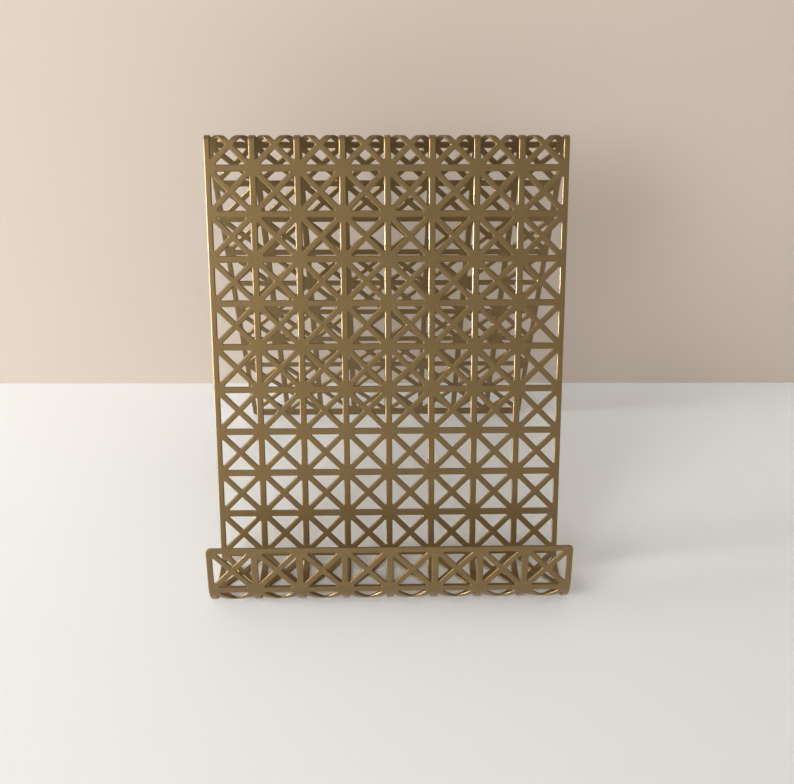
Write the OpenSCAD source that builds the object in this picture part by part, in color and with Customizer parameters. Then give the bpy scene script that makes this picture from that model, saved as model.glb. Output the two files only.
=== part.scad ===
// Photo album stand: one perforated steel sheet folded into a desk easel.
// Units are millimetres. X is the width, -Y is the front, +Z is up, and the stand rests on z = 0.
// The sheet is split into its flat zones and its bends, one module per zone.

/* [Lattice] */
// pitch of the square cells, across and along the sheet
cell = 22; // [16:0.5:30]
// number of cells across the width
cols = 8; // [4:1:12]
// rows of cells down the rear leg
leg_rows = 9; // [4:1:12]
// full rows of cells down the display panel
panel_rows = 9; // [4:1:12]
// width of the straight bars between cells
bar_w = 3.4; // [2:0.1:6]
// width of the diagonal bars
diag_w = 3.0; // [2:0.1:6]
// corner relief of each triangular hole
hole_relief = 0.7; // [0.2:0.1:1.2]
// margin of the sheet outside the outermost bar centre lines
margin = 1.3; // [1:0.1:5]

/* [Sheet] */
// finished thickness of the painted sheet
sheet_t = 1.2; // [0.8:0.1:2.5]
// radius of the four outer corners of the sheet
corner_r = 2.4; // [1:0.1:2.6]

/* [Angles] */
// lean of the display panel, back from vertical
panel_lean = 23.5; // [15:0.5:35]
// slope of the rear leg, out from vertical
leg_lean = 13.3; // [8:0.1:20]
// lean of the front lip, back from vertical
lip_lean = 15; // [0:1:30]

/* [Bends] */
// mid-sheet radius of the fold over the top
fold_r = 2.2; // [1.5:0.1:8]
// mid-sheet radius of the bend behind the ledge
heel_r = 10; // [4:0.5:12]
// mid-sheet radius of the bend in front of the ledge
front_r = 13.8; // [6:0.1:15]
// distance from the fold to the first full bar of the panel
fold_gap = 13; // [5:0.5:20]

/* [Hidden] */
// full width of the sheet
sheet_w = cols * cell + 2 * margin;
// mid-sheet height of the ledge floor
mid_z = sheet_t / 2;
// angles turned by the three bends
fold_turn = 180 - panel_lean - leg_lean;
heel_turn = 90 - panel_lean;
front_turn = 90 + lip_lean;
// lengths of sheet used up by the three bends
fold_arc = fold_r * fold_turn * PI / 180;
heel_arc = heel_r * heel_turn * PI / 180;
front_arc = front_r * front_turn * PI / 180;
// besides those rows, the fold lies in one, the ledge and its bends take two and the lip one
rows = leg_rows + 1 + panel_rows + 3;
// distances along the sheet, measured from the first bar centre line at the foot
// the leg and the panel end on a bar centre line, and so does the flat of the ledge
leg_end_s = leg_rows * cell;
panel_s = (leg_rows + 1) * cell - fold_gap;
fold_s = panel_s - fold_arc;
heel_s = (leg_rows + 1 + panel_rows) * cell;
ledge_s = heel_s + heel_arc;
front_s = heel_s + cell;
lip_s = front_s + front_arc;
ledge_l = front_s - ledge_s;
end_s = rows * cell + margin;
// unit vector in the side view for a direction in degrees
function dir(a) = [cos(a), sin(a)];
// travel directions along the sheet in the side view (y, z)
leg_dir = 90 + leg_lean;
panel_dir = 270 - panel_lean;
ledge_dir = 180;
lip_dir = 90 - lip_lean;
// side view points, first with the rear end of the ledge at y = 0
heel_c0 = [0, mid_z + heel_r];
panel_end0 = heel_c0 + heel_r * dir(panel_dir + 90);
panel_start0 = panel_end0 - (heel_s - panel_s) * dir(panel_dir);
fold_c0 = panel_start0 + fold_r * dir(panel_dir + 90);
leg_top0 = fold_c0 + fold_r * dir(leg_dir - 90);
// the leg is as long as its lower edge needs to meet the table
leg_l = (leg_top0[1] - mid_z * sin(leg_lean)) / cos(leg_lean);
foot0 = leg_top0 - leg_l * dir(leg_dir);
foot_s = fold_s - leg_l;
front_c0 = [-ledge_l, mid_z + front_r];
lip_start0 = front_c0 + front_r * dir(lip_dir + 90);
// centre the depth on y = 0
y_back = foot0[0] + mid_z * cos(leg_lean);
y_front = front_c0[0] - front_r - mid_z;
y_shift = -(y_back + y_front) / 2;
shift = [y_shift, 0];
heel_c = heel_c0 + shift;
panel_start = panel_start0 + shift;
fold_c = fold_c0 + shift;
foot = foot0 + shift;
front_c = front_c0 + shift;
lip_start = lip_start0 + shift;
ledge_start = [y_shift, mid_z];

// half widths inside one cell
half_bar = bar_w / 2;
half_diag = diag_w * sqrt(2) / 2;
// facets for round corners
$fn = 64;
gold = [0.56, 0.46, 0.28];

// one triangular hole: base on a straight bar, apex at the crossing, corners relieved
// the base has centre (0, -cell/2) before it is turned by quarter turns
function tri(q, b) = [
    [-b + q, -cell / 2 + half_bar],
    [b - q, -cell / 2 + half_bar],
    [b - 0.7 * q, -cell / 2 + half_bar + 0.7 * q],
    [0.6 * q, -half_diag - 0.6 * q],
    [-0.6 * q, -half_diag - 0.6 * q],
    [-b + 0.7 * q, -cell / 2 + half_bar + 0.7 * q]
];
hole = tri(hole_relief, cell / 2 - half_bar - half_diag);

// quarter turn of a point, k times
function turned(p, k) =
    k == 0 ? p :
    k == 1 ? [-p[1], p[0]] :
    k == 2 ? [-p[0], -p[1]] : [p[1], -p[0]];

// the holes of rows that reach into [s0, s1], with distance along the sheet on the first axis
// sm is the zero of that axis, k stretches it, and a negative k reverses it
module holes(s0, s1, sm, k) {
    for (j = [max(0, floor(s0 / cell)) : min(rows, ceil(s1 / cell)) - 1])
        for (i = [0 : cols - 1])
            for (q = [0 : 3])
                polygon([for (p = hole)
                    let (h = turned(p, q))
                    [k * ((j + 0.5) * cell + h[0] - sm), (i - (cols - 1) / 2) * cell + h[1]]]);
}

// waste outside a rounded corner whose tip is at (s, w)
module corner_waste(s, w, ds, dw) {
    translate([s, w]) difference() {
        translate([ds > 0 ? 0 : -corner_r, dw > 0 ? 0 : -corner_r]) square(corner_r);
        translate([ds * corner_r, dw * corner_r]) circle(corner_r);
    }
}

// flat zone of the sheet from s0 to s1, with its s0 end at point p and travelling along a
module flat_zone(p, a, s0, s1) {
    rotate([90, 0, 90]) translate([p[0], p[1], 0]) rotate([0, 0, a]) rotate([90, 0, 0])
        translate([0, 0, -sheet_t / 2]) linear_extrude(sheet_t) difference() {
            lattice(0, s1 - s0, s0, 1);
            if (s0 < 0) {
                corner_waste(0, -sheet_w / 2, 1, 1);
                corner_waste(0, sheet_w / 2, 1, -1);
            }
            if (s1 > rows * cell) {
                corner_waste(s1 - s0, -sheet_w / 2, -1, 1);
                corner_waste(s1 - s0, sheet_w / 2, -1, -1);
            }
        }
}

// lattice of the sheet from u0 to u1 along it, where u = 0 is the distance sm
module lattice(u0, u1, sm, k) {
    sa = sm + min(u0 / k, u1 / k);
    sb = sm + max(u0 / k, u1 / k);
    difference() {
        translate([u0, -sheet_w / 2]) square([u1 - u0, sheet_w]);
        holes(sa, sb, sm, k);
    }
}

// flat beside a bend of radius r, from u0 to u1 along the tangent
module flank(r, u0, u1, s0, ds) {
    rotate([90, 0, 90]) translate([0, 0, r - sheet_t / 2]) linear_extrude(sheet_t)
        lattice(u0, u1, s0, ds);
}

// bent sheet of radius r from polar angle 0 through t, pierced square to its middle
// s0 is the distance along the sheet at angle 0, and ds its sense
module bent_sheet(r, t, s0, ds) {
    h = t / 2;
    k = sin(h) / (h * PI / 180);
    sm = s0 + ds * r * h * PI / 180;
    reach = (r + sheet_t) * sin(h) + 1;
    inner = (r - sheet_t / 2) * cos(h) - 0.2;
    intersection() {
        rotate_extrude(angle = t) translate([r - sheet_t / 2, -sheet_w / 2]) square([sheet_t, sheet_w]);
        rotate([0, 0, h]) rotate([90, 0, 90]) translate([0, 0, inner])
            linear_extrude(r + sheet_t - inner) difference() {
                translate([-reach, -sheet_w / 2 - 1]) square([2 * reach, sheet_w + 2]);
                holes(sm - reach / k, sm + reach / k, sm, ds * k);
            }
    }
}

// side view frame about centre c, turned to polar angle a
module at_bend(c, a) {
    color(gold) rotate([90, 0, 90]) translate([c[0], c[1], 0]) rotate([0, 0, a]) children();
}

// near-vertical leg at the back, standing on its lower edge
module rear_leg() {
    color(gold) flat_zone(foot, leg_dir, foot_s, leg_end_s);
}

// tight fold along the top, with the end of the leg's sheet up to a bar
module top_fold() {
    at_bend(fold_c, leg_lean) {
        bent_sheet(fold_r, fold_turn, fold_s, 1);
        flank(fold_r, leg_end_s - fold_s, 0, fold_s, 1);
    }
}

// leaning face that the album rests against
module display_panel() {
    color(gold) flat_zone(panel_start, panel_dir, panel_s, heel_s);
}

// bend from the foot of the panel to the ledge
module heel_bend() {
    at_bend(heel_c, -90) bent_sheet(heel_r, heel_turn, ledge_s, -1);
}

// flat ledge on the table, which carries the album
module ledge_floor() {
    color(gold) flat_zone(ledge_start, ledge_dir, ledge_s, front_s);
}

// round bend from the ledge up to the lip, pierced in two halves
module front_bend() {
    at_bend(front_c, -90 - front_turn / 2) {
        bent_sheet(front_r, front_turn / 2, lip_s - front_arc / 2, -1);
        rotate([180, 0, 0]) bent_sheet(front_r, front_turn / 2, lip_s - front_arc / 2, 1);
    }
}

// upstanding lip that keeps the album on the ledge
module front_lip() {
    color(gold) flat_zone(lip_start, lip_dir, lip_s, end_s);
}

rear_leg();
top_fold();
display_panel();
heel_bend();
ledge_floor();
front_bend();
front_lip();
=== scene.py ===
"""Photo album stand: one pierced metal sheet, folded into a desk easel, painted satin gold."""
import math

import bmesh
import bpy
from mathutils import Matrix, Vector
from mathutils.geometry import delaunay_2d_cdt


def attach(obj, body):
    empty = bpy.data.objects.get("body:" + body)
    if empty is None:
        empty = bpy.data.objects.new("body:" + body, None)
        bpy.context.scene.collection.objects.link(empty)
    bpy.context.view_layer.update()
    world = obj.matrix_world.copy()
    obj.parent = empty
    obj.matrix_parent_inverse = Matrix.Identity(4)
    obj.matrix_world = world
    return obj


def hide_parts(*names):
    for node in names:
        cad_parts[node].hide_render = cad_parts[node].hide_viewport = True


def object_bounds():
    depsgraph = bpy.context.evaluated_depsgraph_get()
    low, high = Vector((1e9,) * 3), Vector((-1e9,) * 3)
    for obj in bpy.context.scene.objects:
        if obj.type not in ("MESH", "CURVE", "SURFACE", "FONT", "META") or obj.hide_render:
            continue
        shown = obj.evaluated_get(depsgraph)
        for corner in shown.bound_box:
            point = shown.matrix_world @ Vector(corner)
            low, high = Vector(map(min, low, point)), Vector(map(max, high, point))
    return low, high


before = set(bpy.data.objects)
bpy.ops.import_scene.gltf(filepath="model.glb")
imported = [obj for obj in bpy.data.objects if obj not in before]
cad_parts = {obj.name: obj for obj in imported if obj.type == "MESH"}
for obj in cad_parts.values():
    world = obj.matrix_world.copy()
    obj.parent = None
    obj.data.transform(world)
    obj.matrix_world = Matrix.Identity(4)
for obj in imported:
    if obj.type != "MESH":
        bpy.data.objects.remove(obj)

MM = 0.001
CAD_LOW, CAD_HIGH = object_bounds()

# ---------------------------------------------------------------- sizes in millimetres
CELL = 22.0
COLS = 8
LEG_ROWS = 9
PANEL_ROWS = 9
BAR_W = 3.4
DIAG_W = 3.0
MARGIN = 1.3
SHEET_T = 1.2
SHEET_R = 2.4
PANEL_LEAN = math.radians(23.5)
LEG_LEAN = math.radians(13.3)
LIP_LEAN = math.radians(15.0)
FOLD_R = 2.2
HEEL_R = 10.0
FRONT_R = 13.8
FOLD_GAP = 13.0
# softened arris of the cut edges, and radius in the corners of the holes
EDGE_R = 0.52
HOLE_R = 0.3
# segments in a quarter of an arris, in a corner of a hole and in a corner of the sheet
EDGE_STEPS = 3
HOLE_STEPS = 3
CORNER_STEPS = 6
# a bend is made of flat strips, each turning by about this much
STRIP_TURN = math.radians(4)
# a cut closer than this to the end of a piece is left out
CUT_GAP = 0.01
# points closer than this to a cut count as on it
CUT_TOLERANCE = 1e-5

# the fold lies in one more row, the ledge and its bends in two and the lip in one
ROWS = LEG_ROWS + 1 + PANEL_ROWS + 3
HALF_W = COLS * CELL / 2 + MARGIN

# ---------------------------------------------------------------- path in the side view
FOLD_TURN = math.pi - PANEL_LEAN - LEG_LEAN
HEEL_TURN = math.pi / 2 - PANEL_LEAN
FRONT_TURN = math.pi / 2 + LIP_LEAN
LEG_END_S = LEG_ROWS * CELL
PANEL_S = (LEG_ROWS + 1) * CELL - FOLD_GAP
FOLD_S = PANEL_S - FOLD_R * FOLD_TURN
HEEL_S = (LEG_ROWS + 1 + PANEL_ROWS) * CELL
LEDGE_S = HEEL_S + HEEL_R * HEEL_TURN
FRONT_S = HEEL_S + CELL
LIP_S = FRONT_S + FRONT_R * FRONT_TURN
END_S = ROWS * CELL + MARGIN
LEG_HEADING = math.pi / 2 + LEG_LEAN


def advance(at, heading, length, turn):
    """The place and heading after a straight run or an arc of the given length."""
    y, z = at
    if turn == 0:
        return (y + length * math.cos(heading), z + length * math.sin(heading)), heading
    r = length / turn
    end = heading + turn
    y += r * (math.sin(end) - math.sin(heading))
    z -= r * (math.cos(end) - math.cos(heading))
    return (y, z), end


def leg_length():
    """Length of the leg, so that its lower edge meets the table that the ledge lies on."""
    at, heading = (0.0, 0.0), LEG_HEADING
    for length, turn in RUNS[1:4]:
        at, heading = advance(at, heading, length, turn)
    top_z = SHEET_T / 2 - at[1]
    return (top_z - SHEET_T / 2 * math.sin(LEG_LEAN)) / math.cos(LEG_LEAN)


# length and turn of each run, from the foot to the lip
RUNS = [
    [0.0, 0.0],
    [PANEL_S - FOLD_S, FOLD_TURN],
    [HEEL_S - PANEL_S, 0.0],
    [LEDGE_S - HEEL_S, -HEEL_TURN],
    [FRONT_S - LEDGE_S, 0.0],
    [LIP_S - FRONT_S, -FRONT_TURN],
    [END_S - LIP_S, 0.0],
]
RUNS[0][0] = leg_length()
FOOT_S = FOLD_S - RUNS[0][0]


def walk():
    """Start distance, place, heading, length and turn of each run, set on the CAD box."""
    rows, at, heading, s = [], (0.0, 0.0), LEG_HEADING, FOOT_S
    for length, turn in RUNS:
        rows.append([s, at, heading, length, turn])
        at, heading = advance(at, heading, length, turn)
        s += length
    front = rows[5]
    front_y = front[1][0] - FRONT_R - SHEET_T / 2
    dy = CAD_LOW.y / MM - front_y
    dz = SHEET_T / 2 - rows[4][1][1]
    for row in rows:
        row[1] = (row[1][0] + dy, row[1][1] + dz)
    return rows


PATH = walk()


def side_view(s):
    """Middle of the sheet at distance s, and its travel heading."""
    row = [r for r in PATH if s >= r[0] - 1e-7][-1]
    start, at, heading, length, turn = row
    part = s - start
    return advance(at, heading, part, turn * part / length)


# ---------------------------------------------------------------- flat sheet
def rounded(corners, radius, steps):
    """Outline of an anticlockwise polygon with round corners, as (point, outward normal)."""
    out, count = [], len(corners)
    for i in range(count):
        a, b, c = (Vector(corners[(i + k - 1) % count]) for k in range(3))
        before, after = (b - a).normalized(), (c - b).normalized()
        turn = before.angle(after)
        start = b - before * radius * math.tan(turn / 2)
        away = Vector((before.y, -before.x))
        centre = start - away * radius
        for k in range(steps + 1):
            spoke = Matrix.Rotation(turn * k / steps, 2) @ away
            out.append((centre + spoke * radius, spoke))
    return out


def hole_corners(row, col, quarter):
    """Corners of one triangular hole, anticlockwise, with its base on a straight bar."""
    base = CELL / 2 - BAR_W / 2
    tip = DIAG_W / math.sqrt(2)
    reach = base - tip
    spin = Matrix.Rotation(quarter * math.pi / 2, 2)
    centre = Vector(((row + 0.5) * CELL, (col - (COLS - 1) / 2) * CELL))
    return [centre + spin @ Vector(p) for p in ((-reach, -base), (reach, -base), (0.0, -tip))]


def loops():
    """The sheet's outline and every hole: lists of (point, direction into the metal)."""
    outline = rounded(
        [(FOOT_S, -HALF_W), (END_S, -HALF_W), (END_S, HALF_W), (FOOT_S, HALF_W)],
        SHEET_R,
        CORNER_STEPS,
    )
    out = [[(point, -away) for point, away in outline]]
    for row in range(ROWS):
        for col in range(COLS):
            for quarter in range(4):
                out.append(rounded(hole_corners(row, col, quarter), HOLE_R, HOLE_STEPS))
    return out


def edge_profile():
    """Rings over a softened cut edge, from one face of the sheet to the other: inset and height."""
    rows = []
    for k in range(EDGE_STEPS + 1):
        a = math.pi / 2 * k / EDGE_STEPS
        rows.append((EDGE_R * (1 - math.sin(a)), SHEET_T / 2 - EDGE_R * (1 - math.cos(a))))
    return rows + [(inset, -height) for inset, height in reversed(rows)]


def flat_sheet():
    """Mesh of the whole flat sheet.

    x is along it from the first bar at the foot, y across it, z off its middle.
    """
    rings = edge_profile()
    verts, faces, flat, owner, constraints = [], [], [], [], []
    for loop in loops():
        first, count = len(verts), len(loop)
        for inset, height in rings:
            verts += [(*(point + inward * inset), height) for point, inward in loop]
        for ring in range(len(rings) - 1):
            a, b = first + ring * count, first + (ring + 1) * count
            for i in range(count):
                j = (i + 1) % count
                faces.append((a + i, a + j, b + j, b + i))
        last = first + (len(rings) - 1) * count
        constraints.append([len(flat) + i for i in range(count)])
        flat += [Vector(verts[first + i][:2]) for i in range(count)]
        owner += [(first + i, last + i) for i in range(count)]
    # output type 2 keeps the inside of the outline and drops the insides of the holes
    _, _, filled, origin, _, _ = delaunay_2d_cdt(flat, [], constraints, 2, 1e-7)
    for face in filled:
        top, bottom = zip(*(owner[origin[i][0]] for i in face))
        faces += [top, bottom[::-1]]
    mesh = bpy.data.meshes.new("flat_sheet")
    mesh.from_pydata(verts, [], faces)
    return mesh


# ---------------------------------------------------------------- pieces
def cut(bm, s, keep=0):
    """Cuts the flat sheet across at s, and clears the part before (1) or after it (-1) if asked."""
    bmesh.ops.bisect_plane(
        bm,
        geom=bm.verts[:] + bm.edges[:] + bm.faces[:],
        dist=CUT_TOLERANCE,
        plane_co=(s, 0, 0),
        plane_no=(1, 0, 0),
        clear_inner=keep > 0,
        clear_outer=keep < 0,
    )


def piece(name, s0, s1, flat, material):
    """One zone of the sheet, from s0 to s1, capped at its ends and bent into place."""
    bm = bmesh.new()
    bm.from_mesh(flat)
    if s0 > FOOT_S + CUT_GAP:
        cut(bm, s0, 1)
    if s1 < END_S - CUT_GAP:
        cut(bm, s1, -1)
    for start, _, _, length, turn in PATH:
        steps = max(1, round(abs(turn) / STRIP_TURN))
        for k in range(steps + 1):
            s = start + length * k / steps
            if s0 + CUT_GAP < s < s1 - CUT_GAP:
                cut(bm, s)
    bmesh.ops.holes_fill(bm, edges=[e for e in bm.edges if e.is_boundary], sides=0)
    for v in bm.verts:
        (y, z), heading = side_view(v.co.x)
        off = Vector((0, -math.sin(heading), math.cos(heading)))
        v.co = (Vector((v.co.y, y, z)) + off * v.co.z) * MM
    bmesh.ops.recalc_face_normals(bm, faces=bm.faces[:])
    if bm.calc_volume(signed=True) < 0:
        bmesh.ops.reverse_faces(bm, faces=bm.faces[:])
    mesh = bpy.data.meshes.new(name)
    bm.to_mesh(mesh)
    bm.free()
    obj = bpy.data.objects.new(name, mesh)
    bpy.context.scene.collection.objects.link(obj)
    obj.data.materials.append(material)
    return obj


# ---------------------------------------------------------------- materials
PAINT_DARK = (0.200, 0.127, 0.043)
PAINT_LIGHT = (0.222, 0.143, 0.050)
PAINT_FLECK = (0.34, 0.245, 0.11)
FLECK_AMOUNT = 0.3
# scales of the noise, per metre, and depth of the grain in metres
CLOUD_SCALE = 28
GLOSS_SCALE = 240
GRAIN_SCALE = 1500
FLECK_SCALE = 2600
STAGE_SCALE = 3
GRAIN_DEPTH = 0.00004
TABLE_COLOURS = (0.91, 0.945, 0.96), (0.93, 0.96, 0.975)
WALL_COLOURS = (0.565, 0.488, 0.428), (0.585, 0.508, 0.448)


def nodes_of(name):
    """A new material with its nodes, its links and its shader."""
    mat = bpy.data.materials.new(name)
    mat.use_nodes = True
    return mat, mat.node_tree.nodes, mat.node_tree.links, mat.node_tree.nodes["Principled BSDF"]


def noise(nodes, links, scale, detail=2.0):
    """Noise in object coordinates."""
    node = nodes.new("ShaderNodeTexNoise")
    node.inputs["Scale"].default_value = scale
    node.inputs["Detail"].default_value = detail
    coords = nodes.get("Texture Coordinate") or nodes.new("ShaderNodeTexCoord")
    links.new(coords.outputs["Object"], node.inputs["Vector"])
    return node.outputs["Fac"]


def spread(nodes, links, value, low, high, from_low=0.3, from_high=0.7):
    """Maps a value from one range to another."""
    node = nodes.new("ShaderNodeMapRange")
    node.inputs["From Min"].default_value = from_low
    node.inputs["From Max"].default_value = from_high
    node.inputs["To Min"].default_value = low
    node.inputs["To Max"].default_value = high
    links.new(value, node.inputs["Value"])
    return node.outputs["Result"]


def mix(nodes, links, factor, a, b):
    """Mixes two colours, each a tuple or a socket."""
    node = nodes.new("ShaderNodeMix")
    node.data_type = "RGBA"
    links.new(factor, node.inputs["Factor"])
    # sockets 6 and 7 are the two colours, and output 2 is the mixed one
    for socket, value in ((node.inputs[6], a), (node.inputs[7], b)):
        if isinstance(value, tuple):
            socket.default_value = (*value, 1)
        else:
            links.new(value, socket)
    return node.outputs[2]


def gold_paint():
    """Satin gold paint: faint clouds, pale flecks, uneven gloss and a fine grain."""
    mat, nodes, links, shader = nodes_of("gold_paint")
    cloud = spread(nodes, links, noise(nodes, links, CLOUD_SCALE, 3), 0, 1)
    fleck = spread(nodes, links, noise(nodes, links, FLECK_SCALE, 1), 0, 1, 0.35, 0.75)
    base = mix(nodes, links, cloud, PAINT_DARK, PAINT_LIGHT)
    amount = spread(nodes, links, fleck, 0, FLECK_AMOUNT, 0, 1)
    links.new(mix(nodes, links, amount, base, PAINT_FLECK), shader.inputs["Base Color"])
    shader.inputs["Metallic"].default_value = 0.85
    shader.inputs["Coat Weight"].default_value = 0.6
    shader.inputs["Coat Roughness"].default_value = 0.25
    gloss = spread(nodes, links, noise(nodes, links, GLOSS_SCALE, 2), 0.40, 0.50)
    links.new(gloss, shader.inputs["Roughness"])
    bump = nodes.new("ShaderNodeBump")
    bump.inputs["Strength"].default_value = 0.25
    bump.inputs["Distance"].default_value = GRAIN_DEPTH
    links.new(noise(nodes, links, GRAIN_SCALE, 2), bump.inputs["Height"])
    links.new(bump.outputs["Normal"], shader.inputs["Normal"])
    return mat


def pale(name, low, high):
    """Matt, nearly plain surface of the staging."""
    mat, nodes, links, shader = nodes_of(name)
    cloud = noise(nodes, links, STAGE_SCALE, 2)
    links.new(mix(nodes, links, cloud, low, high), shader.inputs["Base Color"])
    shader.inputs["Roughness"].default_value = 0.85
    shader.inputs["Specular IOR Level"].default_value = 0.15
    return mat


# ---------------------------------------------------------------- build
FLAT = flat_sheet()
PAINT = gold_paint()
ZONES = [
    ("rear_leg", FOOT_S, LEG_END_S),
    ("top_fold", LEG_END_S, PANEL_S),
    ("display_panel", PANEL_S, HEEL_S),
    ("heel_bend", HEEL_S, LEDGE_S),
    ("ledge_floor", LEDGE_S, FRONT_S),
    ("front_bend", FRONT_S, LIP_S),
    ("front_lip", LIP_S, END_S),
]
for node, s0, s1 in ZONES:
    zone = piece("sheet_" + node, s0, s1, FLAT, PAINT)
    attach(zone, "root")
    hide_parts(node)

# ---------------------------------------------------------------- table and wall
STAGE_HALF = 3.0
WALL_HIGH = 3.0
# the wall stands behind the foot, and runs slightly nearer to the right, over its half width
WALL_Y = CAD_HIGH.y + 0.0372
WALL_SKEW = 0.028
LEFT_Y, RIGHT_Y = WALL_Y + WALL_SKEW, WALL_Y - WALL_SKEW


def plane(name, corners, material):
    """One staging rectangle."""
    mesh = bpy.data.meshes.new(name)
    mesh.from_pydata(corners, [], [(0, 1, 2, 3)])
    obj = bpy.data.objects.new(name, mesh)
    bpy.context.scene.collection.objects.link(obj)
    obj.data.materials.append(material)


table = pale("table_white", *TABLE_COLOURS)
plane(
    "table",
    [
        (-STAGE_HALF, -STAGE_HALF, 0),
        (STAGE_HALF, -STAGE_HALF, 0),
        (STAGE_HALF, STAGE_HALF, 0),
        (-STAGE_HALF, STAGE_HALF, 0),
    ],
    table,
)
wall = pale("wall_cream", *WALL_COLOURS)
plane(
    "wall",
    [
        (-STAGE_HALF, LEFT_Y, 0),
        (STAGE_HALF, RIGHT_Y, 0),
        (STAGE_HALF, RIGHT_Y, WALL_HIGH),
        (-STAGE_HALF, LEFT_Y, WALL_HIGH),
    ],
    wall,
)
# the wall is see-through from behind, so that it never hides the back of the stand
tree = wall.node_tree
clear = tree.nodes.new("ShaderNodeBsdfTransparent")
either = tree.nodes.new("ShaderNodeMixShader")
facing = tree.nodes.new("ShaderNodeNewGeometry")
tree.links.new(facing.outputs["Backfacing"], either.inputs[0])
tree.links.new(tree.nodes["Principled BSDF"].outputs[0], either.inputs[1])
tree.links.new(clear.outputs[0], either.inputs[2])
tree.links.new(either.outputs[0], tree.nodes["Material Output"].inputs["Surface"])


# ---------------------------------------------------------------- light
def area_light(name, place, target, size, power, colour, spread_angle):
    """A round lamp, hidden from the camera, that faces its target."""
    data = bpy.data.lights.new(name, "AREA")
    data.shape = "DISK"
    data.size = size
    data.energy = power
    data.spread = spread_angle
    data.color = colour
    obj = bpy.data.objects.new(name, data)
    bpy.context.scene.collection.objects.link(obj)
    obj.location = place
    obj.rotation_euler = (Vector(target) - Vector(place)).to_track_quat("-Z", "Y").to_euler()
    obj.visible_camera = False


# the window is high on the left, and the low side lamp draws out the cut edges
area_light("window", (-1.35, -1.25, 0.82), (0, 0, 0.05), 0.9, 19, (1.0, 1.0, 0.98), math.pi)
area_light(
    "side", (-2.4, -0.14, 0.08), (0, 0, 0.09), 0.6, 21, (1.0, 0.98, 0.94), math.radians(60)
)


def studio(towards, dim, bright):
    """Soft room light that is brighter on the side of the window."""
    world = bpy.data.worlds.new("studio")
    bpy.context.scene.world = world
    world.use_nodes = True
    nodes, links = world.node_tree.nodes, world.node_tree.links
    nodes["Background"].inputs["Color"].default_value = (1.0, 0.965, 0.92, 1)
    side = nodes.new("ShaderNodeVectorMath")
    side.operation = "DOT_PRODUCT"
    side.inputs[1].default_value = Vector(towards).normalized()
    links.new(nodes.new("ShaderNodeTexCoord").outputs["Generated"], side.inputs[0])
    strength = spread(nodes, links, side.outputs["Value"], dim, bright, -0.3, 0.9)
    links.new(strength, nodes["Background"].inputs["Strength"])


studio((-0.6, -0.85, 0.2), 0.13, 0.64)

# ---------------------------------------------------------------- camera
FOCAL_PX = 833.13
SENSOR_W = 36
CAMERA_PLACE = (-0.0037, CAD_HIGH.y - 0.4567, 0.3252)
IMAGE_W = 794
PITCH, YAW, ROLL = (math.radians(a) for a in (33.978, 1.289, -0.36))
camera = bpy.data.cameras.new("camera")
camera.sensor_width = SENSOR_W
camera.lens = FOCAL_PX * SENSOR_W / IMAGE_W
camera_obj = bpy.data.objects.new("camera", camera)
bpy.context.scene.collection.objects.link(camera_obj)
ahead = Vector(
    (math.sin(YAW) * math.cos(PITCH), math.cos(YAW) * math.cos(PITCH), -math.sin(PITCH))
)
right = Vector((math.cos(YAW), -math.sin(YAW), 0))
down = ahead.cross(right)
rolled = right * math.cos(ROLL) + down * math.sin(ROLL)
up = right * math.sin(ROLL) - down * math.cos(ROLL)
axes = Matrix((rolled, up, -ahead)).transposed().to_4x4()
camera_obj.matrix_world = Matrix.Translation(CAMERA_PLACE) @ axes
bpy.context.scene.camera = camera_obj
bpy.context.scene.view_settings.view_transform = "Standard"
